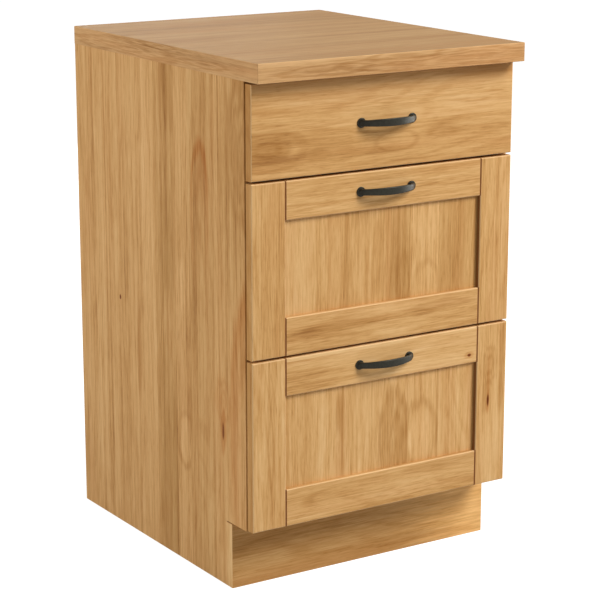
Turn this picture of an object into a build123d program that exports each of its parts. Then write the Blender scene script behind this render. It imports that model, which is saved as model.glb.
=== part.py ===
from build123d import *
import os
from math import sqrt

# Base cabinet with three drawers: a worktop on a carcass of melamine-faced boards, a slab front
# above two frame-and-panel fronts, and drawer boxes on roller runners.
# Frame: X to the right, Y to the back, Z up. The origin is on the floor, under the middle of the
# worktop. All sizes are in millimetres.

# ---- Overall size ----
cabinet_width = 500.0  # over the worktop
cabinet_depth = 600.0  # over the worktop
cabinet_height = 850.0

# ---- Boards ----
board_thickness = 16.0
worktop_thickness = 30.0
front_thickness = 16.0
back_panel_thickness = 3.0
box_board = 12.0
box_bottom_thickness = 4.0

# ---- Overhangs, gaps and the toe kick ----
worktop_side_overhang = 1.0
worktop_front_overhang = 25.0  # past the drawer fronts
worktop_edge_bevel = 0.8
front_side_inset = 2.0  # from the outside of the side panel to the edge of a front
front_gap = 4.0  # between fronts, and under the worktop
front_bottom_reveal = 1.0  # from the toe kick's height up to the lowest front
front_stand_off = 1.0  # between a closed front and the carcass
toe_kick_height = 110.0
toe_kick_depth = 60.0  # notch in the side panels
plinth_top_gap = 2.0
rail_depth = 100.0
back_panel_inset = 15.0  # from the back of the carcass to the back panel
back_groove_depth = 8.0

# ---- Drawer fronts ----
top_front_height = 147.0
front_edge_radius = 2.0
frame_width = 61.0  # stiles and rails
joint_bevel = 1.5  # each side of the V-groove between stile and rail
panel_recess = 7.0
panel_thickness = 6.0
panel_groove_depth = 8.0

# ---- Drawer boxes ----
box_back_clearance = 41.0  # from the box to the back panel
top_box_drop = 33.0  # from the top edge of the front down to the rim of the box
lower_box_drop = 50.0
box_rim_bevel = 1.0
box_bottom_rise = 8.0  # from the lower edge of the box sides to the drawer bottom
box_groove_depth = 6.0

# ---- Roller runners ----
runner_gap = 12.5  # each side, between the carcass and the box
runner_gauge = 1.2  # steel sheet
runner_height = 30.0
runner_set_back = 2.0  # behind the carcass's front edges
runner_rise = 20.0  # from the lower edge of the front to the foot of the runner
lower_flange_width = 10.5
upper_flange_width = 8.0
track_outer_gap = 1.0  # between the drawer track and the web beside it
support_flange_width = 11.5  # under the box side
box_above_runner = 4.0  # from the foot of the runner to the lower edge of the box
runner_overlap = 125.0  # what stays inside when the drawer is fully open
roller_radius = 10.0
roller_width = 7.0
roller_bore_clearance = 0.05
rolling_clearance = 0.3
pin_radius = 3.0
pin_head_radius = 4.0
pin_head_height = 0.9
pin_sides = 12  # flats of a pin and of the bore round it
pin_side_play = 0.5  # each side of a roller
front_roller_set_back = 12.0  # from the front end of the runner to the roller's axis
front_roller_rise = 15.0  # from the foot of the runner to the front roller's axis
rear_roller_inset = 20.0  # from the back end of the drawer runner to the roller's axis
mouth_length = 36.0  # open top of the runner over its front roller
stop_height = 3.0  # lug on the lower flange that ends the travel
stop_length = 4.0
stop_width = 6.0
stop_play = 1.0

# ---- Bow handles ----
handle_spacing = 96.0
handle_projection = 22.0
bar_thickness = 4.5
bar_height = 10.0
bar_edge_bevel = 1.1
shoulder_run = 15.0  # along the front, from the foot to the shoulder of the bow
crown_rise = 4.2  # from the shoulder to the crown
shoulder_radius = 28.0
foot_radius = 8.0
foot_rise = 2.0
neck_radius = 4.2
neck_height = 6.5
neck_sides = 12
handle_thread_depth = 5.0

# ---- Fittings ----
fit = 0.1  # clearance round what sits in a hole or a groove
fastener_sides = 6
cam_sides = 8
cam_radius = 7.5
cam_depth = 12.5
cam_reach = 34.0  # from the end of a board to the cam's axis
bolt_thread_radius = 2.5
bolt_thread_length = 11.0
bolt_shank_radius = 3.0
dowel_radius = 4.0
dowel_length = 30.0
dowel_in_side = 11.0
joint_pitch = 32.0  # between a cam bolt and its dowel
cam_edge_distance = 34.0
screw_radius = 1.75
screw_head_radius = 3.5
screw_head_height = 1.0
runner_screw_length = 13.0
front_screw_length = 22.0
handle_screw_radius = 2.0
handle_screw_head_radius = 4.0
handle_screw_head_height = 2.2
worktop_screw_length = 30.0
bracket_screw_length = 12.0
first_runner_screw = 37.0  # from the front edge of the side panel
last_runner_screw = 113.0  # from the back end of the runner
runner_screw_rise = 20.5
front_screw_edge = 20.0  # from the rim, and from the drawer bottom, to a front screw
bracket_leg = 30.0
bracket_height = 40.0
bracket_gauge = 2.0
bracket_rise = 35.0

# ---- Places that follow from these sizes ----
worktop_front = -cabinet_depth / 2
carcass_back = cabinet_depth / 2
front_face = worktop_front + worktop_front_overhang
front_back = front_face + front_thickness
carcass_front = front_back + front_stand_off
side_outer = cabinet_width / 2 - worktop_side_overhang
side_inner = side_outer - board_thickness
carcass_top = cabinet_height - worktop_thickness
notch_back = carcass_front + toe_kick_depth
back_panel_front = carcass_back - back_panel_inset - back_panel_thickness
bottom_panel_top = toe_kick_height + board_thickness
rail_bottom = carcass_top - board_thickness
front_half = side_outer - front_side_inset
frame_inner = front_half - frame_width
groove_front = front_face + panel_recess
groove_back = groove_front + panel_thickness
box_outer = side_inner - runner_gap
box_inner = box_outer - box_board
box_back = back_panel_front - box_back_clearance
box_depth = box_back - front_back
box_front_rear = front_back + box_board
runner_length = box_depth
drawer_travel = runner_length - runner_overlap
runner_front = carcass_front + runner_set_back
runner_screw_ys = (
    carcass_front + first_runner_screw,
    runner_front + runner_length - last_runner_screw,
)
track_rise = front_roller_rise + roller_radius + rolling_clearance
rear_roller_rise = runner_gauge + rolling_clearance + roller_radius
front_roller_y = runner_front + front_roller_set_back
rear_roller_y = box_back - rear_roller_inset

lower_front_height = (
    carcass_top - toe_kick_height - front_bottom_reveal - top_front_height - 3 * front_gap
) / 2
bottom_front_z = toe_kick_height + front_bottom_reveal
middle_front_z = bottom_front_z + lower_front_height + front_gap
top_front_z = middle_front_z + lower_front_height + front_gap

# name: lower edge of the front, its height, drop to the box rim
drawers = {
    "top": (top_front_z, top_front_height, top_box_drop),
    "middle": (middle_front_z, lower_front_height, lower_box_drop),
    "bottom": (bottom_front_z, lower_front_height, lower_box_drop),
}


# ---- Helpers ----
def at_x(x):
    """Plane across the cabinet: its own x runs to the back, its own y up."""
    return Plane.YZ.offset(x)


def at_y(y):
    """Plane along the front: its own x runs to the right, its own y up, its normal to the viewer."""
    return Plane.XZ.offset(-y)


def at_z(z):
    """Level plane."""
    return Plane.XY.offset(z)


def span(low_u, high_u, low_v, high_v, mode=Mode.ADD):
    """Rectangle between two corners, in the sketch that is open."""
    with Locations(((low_u + high_u) / 2, (low_v + high_v) / 2)):
        Rectangle(high_u - low_u, high_v - low_v, mode=mode)


def drill(plane, spots, radius, depth):
    """Fastener holes in the open part, along the plane's normal, or against it for depths below 0.

    Fasteners and their holes are prisms: the flats of a hole clear a fastener of that radius."""
    with BuildSketch(plane) as holes:
        with Locations(*spots):
            RegularPolygon(radius, fastener_sides, major_radius=False)
    extrude(holes.sketch, amount=depth, mode=Mode.SUBTRACT)


def save(piece, label):
    """Names a finished piece and writes it as its own file."""
    piece.part.label = label
    export_step(piece.part, f"parts/{label}.step")


def mirrored(piece):
    """The same piece for the other side of the cabinet."""
    with BuildPart() as twin:
        mirror(piece.part, about=Plane.YZ)
    return twin


def pan_screw(radius, length, head_radius, head_height):
    """A screw that points down, the seat of its head on the origin."""
    with BuildPart() as fastener:
        with BuildSketch():
            RegularPolygon(head_radius, fastener_sides)
        extrude(amount=head_height)
        with BuildSketch():
            RegularPolygon(radius, fastener_sides)
        extrude(amount=-length)
    return fastener.part


def placed(piece, spots, outward):
    """Copies of a small piece at the spots, its own z turned to `outward`."""
    with BuildPart() as group:
        with Locations(*[Plane(origin=spot, z_dir=outward) for spot in spots]):
            add(piece)
    return group


def both_sides(spots):
    """The spots, and their mirror images on the other side of the cabinet."""
    return [(side * x, y, z) for side in (1, -1) for x, y, z in spots]


os.makedirs("parts", exist_ok=True)


# ---- Worktop ----
rear_rail_front = back_panel_front - rail_depth
worktop_screw_spots = both_sides(
    [
        (side_inner / 2, carcass_front + rail_depth / 2, rail_bottom),
        (side_inner / 2, rear_rail_front + rail_depth / 2, rail_bottom),
    ]
)

with BuildPart() as worktop:
    with BuildSketch(at_z(carcass_top)):
        span(-cabinet_width / 2, cabinet_width / 2, worktop_front, carcass_back)
    extrude(amount=worktop_thickness)
    chamfer(worktop.edges().filter_by(Axis.Z), worktop_edge_bevel)
    chamfer(worktop.faces().sort_by(Axis.Z)[-1].edges(), worktop_edge_bevel)
    drill(
        at_z(carcass_top),
        [(x, y) for x, y, z in worktop_screw_spots],
        screw_radius + fit,
        worktop_screw_length - board_thickness + fit,
    )
save(worktop, "worktop")


# ---- Side panels ----
# Each level board meets the sides with two fittings: a cam bolt and, a pitch behind it, a dowel.
bottom_mid = toe_kick_height + board_thickness / 2
rail_mid = rail_bottom + board_thickness / 2
level_boards = {
    "bottom_panel": (
        toe_kick_height,
        [carcass_front + cam_edge_distance, back_panel_front - cam_edge_distance - joint_pitch],
    ),
    "front_rail": (rail_bottom, [carcass_front + cam_edge_distance]),
    "rear_rail": (rail_bottom, [rear_rail_front + cam_edge_distance]),
}
bolt_spots = [
    (first_y, low_z + board_thickness / 2)
    for low_z, first_ys in level_boards.values()
    for first_y in first_ys
]
dowel_spots = [(y + joint_pitch, z) for y, z in bolt_spots]
runner_screw_spots = [
    (y, front_z + runner_rise + runner_screw_rise)
    for front_z, height, drop in drawers.values()
    for y in runner_screw_ys
]
bracket_screw_z = bracket_rise + bracket_height / 2
bracket_screw_y = notch_back + bracket_leg / 2

with BuildPart() as side_panel_right:
    with BuildSketch(at_x(side_inner)):
        with BuildLine():
            Polyline(
                (carcass_front, toe_kick_height),
                (carcass_front, carcass_top),
                (carcass_back, carcass_top),
                (carcass_back, 0),
                (notch_back, 0),
                (notch_back, toe_kick_height),
                close=True,
            )
        make_face()
    extrude(amount=board_thickness)
    with BuildSketch(at_x(side_inner)):
        span(
            back_panel_front - fit,
            back_panel_front + back_panel_thickness + fit,
            0,
            carcass_top,
        )
    extrude(amount=back_groove_depth, mode=Mode.SUBTRACT)
    drill(at_x(side_inner), bolt_spots, bolt_thread_radius + fit, bolt_thread_length + fit)
    drill(at_x(side_inner), dowel_spots, dowel_radius + fit, dowel_in_side + fit)
    drill(
        at_x(side_inner),
        runner_screw_spots,
        screw_radius + fit,
        runner_screw_length - runner_gauge + fit,
    )
    drill(
        at_x(side_inner),
        [(bracket_screw_y, bracket_screw_z)],
        screw_radius + fit,
        bracket_screw_length - bracket_gauge + fit,
    )
save(side_panel_right, "side_panel_right")
save(mirrored(side_panel_right), "side_panel_left")


# ---- Bottom panel and top rails ----
# Their cam bores open downwards, and their bolt and dowel bores open at both ends.
def bore_for_fittings(low_z, first_ys):
    """Cuts the cam, bolt and dowel bores of a level board in the part that is open."""
    mid_z = low_z + board_thickness / 2
    cam_x = side_inner - cam_reach
    drill(at_z(low_z), [(s * cam_x, y) for s in (1, -1) for y in first_ys], cam_radius + fit, cam_depth)
    bolt_bores = [(y, mid_z) for y in first_ys]
    dowel_bores = [(y + joint_pitch, mid_z) for y in first_ys]
    dowel_in_board = dowel_length - dowel_in_side
    for side in (1, -1):
        end = at_x(side * side_inner)
        drill(end, bolt_bores, bolt_shank_radius + fit, -side * cam_reach)
        drill(end, dowel_bores, dowel_radius + fit, -side * (dowel_in_board + fit))


with BuildPart() as bottom_panel:
    with BuildSketch(at_z(toe_kick_height)):
        span(-side_inner, side_inner, carcass_front, carcass_back)
    extrude(amount=board_thickness)
    with BuildSketch(at_z(bottom_panel_top)):
        span(
            -side_inner,
            side_inner,
            back_panel_front - fit,
            back_panel_front + back_panel_thickness + fit,
        )
    extrude(amount=-back_groove_depth, mode=Mode.SUBTRACT)
    bore_for_fittings(*level_boards["bottom_panel"])
save(bottom_panel, "bottom_panel")

for rail_name, rail_front in (("front_rail", carcass_front), ("rear_rail", rear_rail_front)):
    with BuildPart() as top_rail:
        with BuildSketch(at_z(rail_bottom)):
            span(-side_inner, side_inner, rail_front, rail_front + rail_depth)
        extrude(amount=board_thickness)
        bore_for_fittings(*level_boards[rail_name])
        drill(
            at_z(rail_bottom),
            [(side * side_inner / 2, rail_front + rail_depth / 2) for side in (1, -1)],
            screw_radius + fit,
            board_thickness,
        )
    save(top_rail, rail_name)


# ---- Back panel and plinth ----
with BuildPart() as back_panel:
    with BuildSketch(at_y(back_panel_front)):
        span(
            -side_inner - back_groove_depth + fit,
            side_inner + back_groove_depth - fit,
            bottom_panel_top - back_groove_depth + fit,
            carcass_top,
        )
    extrude(amount=-back_panel_thickness)
save(back_panel, "back_panel")

with BuildPart() as plinth_board:
    with BuildSketch(at_y(notch_back)):
        span(-side_outer, side_outer, 0, toe_kick_height - plinth_top_gap)
    extrude(amount=board_thickness)
    drill(
        at_y(notch_back),
        [(side * (side_inner - bracket_leg / 2), bracket_screw_z) for side in (1, -1)],
        screw_radius + fit,
        bracket_screw_length - bracket_gauge + fit,
    )
save(plinth_board, "plinth_board")

with BuildPart() as plinth_brackets:
    with BuildSketch(at_z(bracket_rise)):
        with BuildLine():
            Polyline(
                (side_inner, notch_back),
                (side_inner - bracket_leg, notch_back),
                (side_inner - bracket_leg, notch_back + bracket_gauge),
                (side_inner - bracket_gauge, notch_back + bracket_gauge),
                (side_inner - bracket_gauge, notch_back + bracket_leg),
                (side_inner, notch_back + bracket_leg),
                close=True,
            )
        make_face()
    extrude(amount=bracket_height)
    drill(
        at_y(notch_back),
        [(side_inner - bracket_leg / 2, bracket_screw_z)],
        screw_radius + fit,
        -bracket_gauge,
    )
    drill(
        at_x(side_inner),
        [(bracket_screw_y, bracket_screw_z)],
        screw_radius + fit,
        -bracket_gauge,
    )
    mirror(about=Plane.YZ)
save(plinth_brackets, "plinth_brackets")


# ---- Carcass fittings ----
with BuildPart() as cam:
    with BuildSketch():
        RegularPolygon(cam_radius, cam_sides)
    extrude(amount=cam_depth - fit)
    # pocket that takes the end of the bolt, open towards the end of the board
    drill(
        Plane.YZ.offset(cam_radius),
        [(0, board_thickness / 2)],
        bolt_shank_radius + fit,
        -cam_radius,
    )

cam_spots = [
    (side_inner - cam_reach, first_y, low_z)
    for low_z, first_ys in level_boards.values()
    for first_y in first_ys
]
with BuildPart() as cam_fittings:
    with Locations(*cam_spots):
        add(cam.part)
    mirror(about=Plane.YZ)
save(cam_fittings, "cam_fittings")

with BuildPart() as bolt:
    with BuildSketch():
        RegularPolygon(bolt_thread_radius, fastener_sides)
    extrude(amount=bolt_thread_length)
    with BuildSketch():
        RegularPolygon(bolt_shank_radius, fastener_sides)
    extrude(amount=fit - cam_reach)

with BuildPart() as cam_bolts:
    with Locations(*[Plane(origin=(side_inner, y, z), z_dir=(1, 0, 0)) for y, z in bolt_spots]):
        add(bolt.part)
    mirror(about=Plane.YZ)
save(cam_bolts, "cam_bolts")

with BuildPart() as wood_dowels:
    with BuildSketch(at_x(side_inner + dowel_in_side)):
        with Locations(*dowel_spots):
            RegularPolygon(dowel_radius, fastener_sides)
    extrude(amount=-dowel_length)
    mirror(about=Plane.YZ)
save(wood_dowels, "wood_dowels")

worktop_screw = pan_screw(screw_radius, worktop_screw_length, screw_head_radius, screw_head_height)
save(placed(worktop_screw, worktop_screw_spots, (0, 0, -1)), "worktop_screws")

bracket_screw = pan_screw(screw_radius, bracket_screw_length, screw_head_radius, screw_head_height)
with BuildPart() as plinth_screws:
    with Locations(
        Plane(
            origin=(side_inner - bracket_leg / 2, notch_back + bracket_gauge, bracket_screw_z),
            z_dir=(0, 1, 0),
        ),
        Plane(
            origin=(side_inner - bracket_gauge, bracket_screw_y, bracket_screw_z), z_dir=(-1, 0, 0)
        ),
    ):
        add(bracket_screw)
    mirror(about=Plane.YZ)
save(plinth_screws, "plinth_screws")

runner_screw = pan_screw(screw_radius, runner_screw_length, screw_head_radius, screw_head_height)
with BuildPart() as runner_screws:
    with Locations(
        *[
            Plane(origin=(side_inner - runner_gauge, y, z), z_dir=(-1, 0, 0))
            for y, z in runner_screw_spots
        ]
    ):
        add(runner_screw)
    mirror(about=Plane.YZ)
save(runner_screws, "runner_screws")


# ---- Roller runners ----
# Each roller turns on a pin between the web that carries the pin and the pin's rivet head.
front_roller_outer = side_inner - runner_gauge - pin_side_play
drawer_web_outer = box_outer + runner_gauge
rear_roller_inner = drawer_web_outer + pin_side_play


def riveted_pin(start_x, y, z, inward):
    """A pin that stands on a web and ends in a rivet head, added to the open part."""
    roller_end = roller_width + 2 * pin_side_play
    with BuildSketch(at_x(start_x)) as shaft:
        with Locations((y, z)):
            RegularPolygon(pin_radius, pin_sides)
    extrude(shaft.sketch, amount=inward * roller_end)
    with BuildSketch(at_x(start_x + inward * roller_end)) as head:
        with Locations((y, z)):
            RegularPolygon(pin_head_radius, pin_sides)
    extrude(head.sketch, amount=inward * pin_head_height)


def roller(low_x, y, z):
    """A pair of nylon rollers with their bores along x."""
    with BuildPart() as wheel:
        with BuildSketch(at_x(low_x)):
            with Locations((y, z)):
                Circle(roller_radius)
                RegularPolygon(
                    pin_radius + roller_bore_clearance,
                    pin_sides,
                    major_radius=False,
                    mode=Mode.SUBTRACT,
                )
        extrude(amount=roller_width)
        mirror(about=Plane.YZ)
    return wheel


def cabinet_runners(foot_z):
    """The pair of C-shaped runners that are screwed to the side panels."""
    lug_reach = sqrt(roller_radius**2 - (rear_roller_rise - runner_gauge - stop_height) ** 2)
    lug_back = rear_roller_y - drawer_travel - lug_reach - stop_play
    with BuildPart() as pair:
        with BuildSketch(at_y(runner_front)):
            with BuildLine():
                Polyline(
                    (side_inner, foot_z),
                    (side_inner - lower_flange_width, foot_z),
                    (side_inner - lower_flange_width, foot_z + runner_gauge),
                    (side_inner - runner_gauge, foot_z + runner_gauge),
                    (side_inner - runner_gauge, foot_z + runner_height - runner_gauge),
                    (side_inner - upper_flange_width, foot_z + runner_height - runner_gauge),
                    (side_inner - upper_flange_width, foot_z + runner_height),
                    (side_inner, foot_z + runner_height),
                    close=True,
                )
            make_face()
        extrude(amount=-runner_length)
        # the mouth: the upper flange stops short of the front roller
        with BuildSketch(at_z(foot_z + runner_height)):
            span(
                side_inner - upper_flange_width,
                side_inner - runner_gauge,
                runner_front,
                runner_front + mouth_length,
            )
        extrude(amount=-runner_gauge, mode=Mode.SUBTRACT)
        with BuildSketch(at_z(foot_z + runner_gauge)):
            span(
                side_inner - runner_gauge - stop_width,
                side_inner - runner_gauge,
                lug_back - stop_length,
                lug_back,
            )
        extrude(amount=stop_height)
        riveted_pin(side_inner - runner_gauge, front_roller_y, foot_z + front_roller_rise, -1)
        drill(
            at_x(side_inner),
            [(y, foot_z + runner_screw_rise) for y in runner_screw_ys],
            screw_radius + fit,
            -runner_gauge,
        )
        mirror(about=Plane.YZ)
    return pair


def drawer_runners(foot_z):
    """The pair of drawer runners: a flange under the box side and a track over the front roller."""
    box_z = foot_z + box_above_runner
    track_z = foot_z + track_rise
    track_outer = side_inner - runner_gauge - track_outer_gap
    with BuildPart() as pair:
        with BuildSketch(at_y(front_back)):
            with BuildLine():
                Polyline(
                    (box_outer, box_z),
                    (box_outer - support_flange_width, box_z),
                    (box_outer - support_flange_width, box_z - runner_gauge),
                    (drawer_web_outer, box_z - runner_gauge),
                    (drawer_web_outer, track_z),
                    (track_outer, track_z),
                    (track_outer, track_z + runner_gauge),
                    (box_outer, track_z + runner_gauge),
                    close=True,
                )
            make_face()
        extrude(amount=-runner_length)
        riveted_pin(drawer_web_outer, rear_roller_y, foot_z + rear_roller_rise, 1)
        mirror(about=Plane.YZ)
    return pair


for name, (front_z, height, drop) in drawers.items():
    foot_z = front_z + runner_rise
    save(cabinet_runners(foot_z), f"{name}_cabinet_runners")
    save(drawer_runners(foot_z), f"{name}_drawer_runners")
    front_wheel = roller(
        front_roller_outer - roller_width, front_roller_y, foot_z + front_roller_rise
    )
    save(front_wheel, f"{name}_front_rollers")
    rear_wheel = roller(rear_roller_inner, rear_roller_y, foot_z + rear_roller_rise)
    save(rear_wheel, f"{name}_rear_rollers")


# ---- Drawer fronts ----
front_screw_x = (frame_inner + panel_groove_depth + box_inner) / 2
handle_half = handle_spacing / 2


def front_screw_heights(front_z, rim_z):
    """The two heights of the screws that hold a front to its box."""
    floor_z = front_z + runner_rise + box_above_runner + box_bottom_rise + box_bottom_thickness
    return (floor_z + front_screw_edge, rim_z - front_screw_edge)


def drill_front(spots, radius, depth):
    """Blind holes into a front from behind, at (x, z) spots."""
    drill(at_y(front_back), spots, radius, depth)


def slab_front(front_z, height, handle_z, screw_zs):
    """The plain front, rounded along its four front edges."""
    with BuildPart() as slab:
        with BuildSketch(at_y(front_back)):
            span(-front_half, front_half, front_z, front_z + height)
        extrude(amount=front_thickness)
        fillet(slab.faces().sort_by(Axis.Y)[0].edges(), front_edge_radius)
        drill_front(
            [(side * handle_half, handle_z) for side in (1, -1)],
            handle_screw_radius + fit,
            front_thickness,
        )
        drill_front(
            [(side * front_screw_x, z) for side in (1, -1) for z in screw_zs],
            screw_radius + fit,
            front_screw_length - box_board + fit,
        )
    return slab


def frame_stile(front_z, height, screw_zs):
    """The right stile: grooved for the panel, bevelled where the rails meet it."""
    with BuildPart() as stile:
        with BuildSketch(at_z(front_z)):
            with BuildLine():
                Polyline(
                    (front_half, front_back),
                    (frame_inner, front_back),
                    (frame_inner, groove_back),
                    (frame_inner + panel_groove_depth, groove_back),
                    (frame_inner + panel_groove_depth, groove_front),
                    (frame_inner, groove_front),
                    (frame_inner, front_face + joint_bevel),
                    (frame_inner + joint_bevel, front_face),
                    (front_half, front_face),
                    close=True,
                )
            make_face()
        extrude(amount=height)
        face_edges = stile.faces().filter_by(Axis.Y).sort_by(Axis.Y)[0].edges()
        fillet(face_edges.sort_by(Axis.X)[1:], front_edge_radius)
        drill_front(
            [(front_screw_x, z) for z in screw_zs],
            screw_radius + fit,
            front_screw_length - box_board + fit,
        )
    return stile


def frame_rail(outer_z, inward, handle_z=None):
    """A rail between the stiles, from its outer edge inwards (-1 down, 1 up), with stub tenons."""
    inner_z = outer_z + inward * frame_width
    groove_z = inner_z - inward * panel_groove_depth
    with BuildPart() as rail:
        with BuildSketch(Plane.YZ):
            with BuildLine():
                Polyline(
                    (front_back, outer_z),
                    (front_face, outer_z),
                    (front_face, inner_z - inward * joint_bevel),
                    (front_face + joint_bevel, inner_z),
                    (groove_front, inner_z),
                    (groove_front, groove_z),
                    (groove_back, groove_z),
                    (groove_back, inner_z),
                    (front_back, inner_z),
                    close=True,
                )
            make_face()
        extrude(amount=frame_inner, both=True)
        face_edges = rail.faces().filter_by(Axis.Y).sort_by(Axis.Y)[0].edges()
        chamfer(face_edges.filter_by(Axis.Z), joint_bevel)
        face_edges = rail.faces().filter_by(Axis.Y).sort_by(Axis.Y)[0].edges()
        fillet(face_edges.filter_by(Axis.X).sort_by(Axis.Z)[0 if inward > 0 else -1], front_edge_radius)
        for side in (1, -1):
            with BuildSketch(at_x(side * frame_inner)):
                span(
                    groove_front + fit,
                    groove_back - fit,
                    min(outer_z, groove_z),
                    max(outer_z, groove_z),
                )
            extrude(amount=side * (panel_groove_depth - fit))
        if handle_z is not None:
            drill_front(
                [(side * handle_half, handle_z) for side in (1, -1)],
                handle_screw_radius + fit,
                front_thickness,
            )
    return rail


def frame_panel(front_z, height):
    """The centre panel, held in the grooves of the stiles and rails."""
    reach = panel_groove_depth - frame_width - fit
    with BuildPart() as panel:
        with BuildSketch(at_y(groove_back - fit)):
            span(
                -frame_inner - panel_groove_depth + fit,
                frame_inner + panel_groove_depth - fit,
                front_z - reach,
                front_z + height + reach,
            )
        extrude(amount=panel_thickness - 2 * fit)
    return panel


# ---- Drawer boxes ----
def box_side(box_z, rim_z):
    """The right box side, grooved for the bottom, its rim bevelled."""
    bottom_z = box_z + box_bottom_rise
    with BuildPart() as side:
        with BuildSketch(at_y(front_back)):
            span(box_inner, box_outer, box_z, rim_z)
            span(
                box_inner,
                box_inner + box_groove_depth,
                bottom_z,
                bottom_z + box_bottom_thickness + fit,
                mode=Mode.SUBTRACT,
            )
        extrude(amount=-box_depth)
        chamfer(side.edges().filter_by(Axis.Y).group_by(Axis.Z)[-1], box_rim_bevel)
    return side


def box_cross_board(low_y, low_z, rim_z):
    """A board between the box sides, its rim bevelled."""
    with BuildPart() as board:
        with BuildSketch(at_y(low_y)):
            span(-box_inner, box_inner, low_z, rim_z)
        extrude(amount=-box_board)
        chamfer(board.edges().filter_by(Axis.X).group_by(Axis.Z)[-1], box_rim_bevel)
    return board


# ---- Handles ----
def bow_handle(handle_z):
    """A flat bow between two round feet, threaded from behind."""
    crown_y = front_face - handle_projection + bar_thickness / 2
    shoulder_y = crown_y + crown_rise
    foot_y = front_face - bar_thickness / 2
    shoulder_x = handle_half - shoulder_run
    foot_spots = [(side * handle_half, handle_z) for side in (1, -1)]
    with BuildPart() as handle:
        with BuildLine(at_z(handle_z)) as bow:
            Line((-handle_half, foot_y), (-shoulder_x, shoulder_y))
            SagittaArc((-shoulder_x, shoulder_y), (shoulder_x, shoulder_y), -crown_rise)
            Line((shoulder_x, shoulder_y), (handle_half, foot_y))
            fillet(bow.vertices().sort_by(Axis.Y)[:2], shoulder_radius)
        path = bow.wires()[0]
        with BuildSketch(Plane(origin=path @ 0, x_dir=(0, 0, 1), z_dir=path % 0)) as bow_section:
            Rectangle(bar_height, bar_thickness)
            chamfer(bow_section.vertices().sort_by(Axis.Y)[:2], bar_edge_bevel)
        sweep(path=path)
        with BuildSketch(at_y(front_face)):
            with Locations(*foot_spots):
                Circle(foot_radius)
        extrude(amount=foot_rise)
        with BuildSketch(at_y(front_face)):
            with Locations(*foot_spots):
                RegularPolygon(neck_radius, neck_sides)
        extrude(amount=neck_height)
        drill(at_y(front_face), foot_spots, handle_screw_radius + fit, handle_thread_depth)
    return handle


# ---- The three drawers ----
front_screw = pan_screw(screw_radius, front_screw_length, screw_head_radius, screw_head_height)

for name, (front_z, height, drop) in drawers.items():
    front_top = front_z + height
    foot_z = front_z + runner_rise
    box_z = foot_z + box_above_runner
    bottom_z = box_z + box_bottom_rise
    floor_z = bottom_z + box_bottom_thickness + fit
    rim_z = front_top - drop
    handle_z = front_top - (height if name == "top" else frame_width) / 2
    front_screw_zs = front_screw_heights(front_z, rim_z)

    if name == "top":
        save(slab_front(front_z, height, handle_z, front_screw_zs), "top_front")
    else:
        stile = frame_stile(front_z, height, front_screw_zs)
        save(stile, f"{name}_stile_right")
        save(mirrored(stile), f"{name}_stile_left")
        save(frame_rail(front_top, -1, handle_z), f"{name}_rail_upper")
        save(frame_rail(front_z, 1), f"{name}_rail_lower")
        save(frame_panel(front_z, height), f"{name}_front_panel")

    side = box_side(box_z, rim_z)
    save(side, f"{name}_box_side_right")
    save(mirrored(side), f"{name}_box_side_left")

    handle_in_box = handle_z - handle_screw_head_radius < rim_z
    handle_seat_y = box_front_rear if handle_in_box else front_back
    with BuildPart() as inner_front:
        add(box_cross_board(front_back, box_z, rim_z).part)
        with BuildSketch(at_y(box_front_rear)):
            span(-box_inner, box_inner, bottom_z, bottom_z + box_bottom_thickness + fit)
        extrude(amount=box_groove_depth, mode=Mode.SUBTRACT)
        drill(
            at_y(box_front_rear),
            [(side_sign * front_screw_x, z) for side_sign in (1, -1) for z in front_screw_zs],
            screw_radius + fit,
            box_board,
        )
        if handle_in_box:
            drill(
                at_y(box_front_rear),
                [(side_sign * handle_half, handle_z) for side_sign in (1, -1)],
                handle_screw_radius + fit,
                box_board,
            )
    save(inner_front, f"{name}_box_front")
    save(box_cross_board(box_back - box_board, floor_z, rim_z), f"{name}_box_back")

    with BuildPart() as box_bottom:
        with BuildSketch(at_z(bottom_z)):
            reach = box_groove_depth - fit
            span(-box_inner - reach, box_inner + reach, box_front_rear - reach, box_back)
        extrude(amount=box_bottom_thickness)
    save(box_bottom, f"{name}_box_bottom")

    save(bow_handle(handle_z), f"{name}_handle")

    handle_screw_length = handle_seat_y - front_face + handle_thread_depth - fit
    handle_screw = pan_screw(
        handle_screw_radius, handle_screw_length, handle_screw_head_radius, handle_screw_head_height
    )
    with BuildPart() as drawer_screws:
        with Locations(
            *[
                Plane(origin=(front_screw_x, box_front_rear, z), z_dir=(0, 1, 0))
                for z in front_screw_zs
            ]
        ):
            add(front_screw)
        with Locations(Plane(origin=(handle_half, handle_seat_y, handle_z), z_dir=(0, 1, 0))):
            add(handle_screw)
        mirror(about=Plane.YZ)
    save(drawer_screws, f"{name}_drawer_screws")
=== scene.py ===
# %% [markdown]
# # Dressing a base cabinet with drawers
#
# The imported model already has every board, runner and screw of the cabinet at its true place, so
# this lesson adds what a model for machines leaves out: how the oak decor looks, how the dark bow
# handles are rounded, and how soft studio light falls on it all. Everything is in metres. X runs to
# the right along the fronts, Y to the back and Z up, and the origin is on the floor.

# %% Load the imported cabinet
from math import asin, cos, degrees, pi, radians

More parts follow.
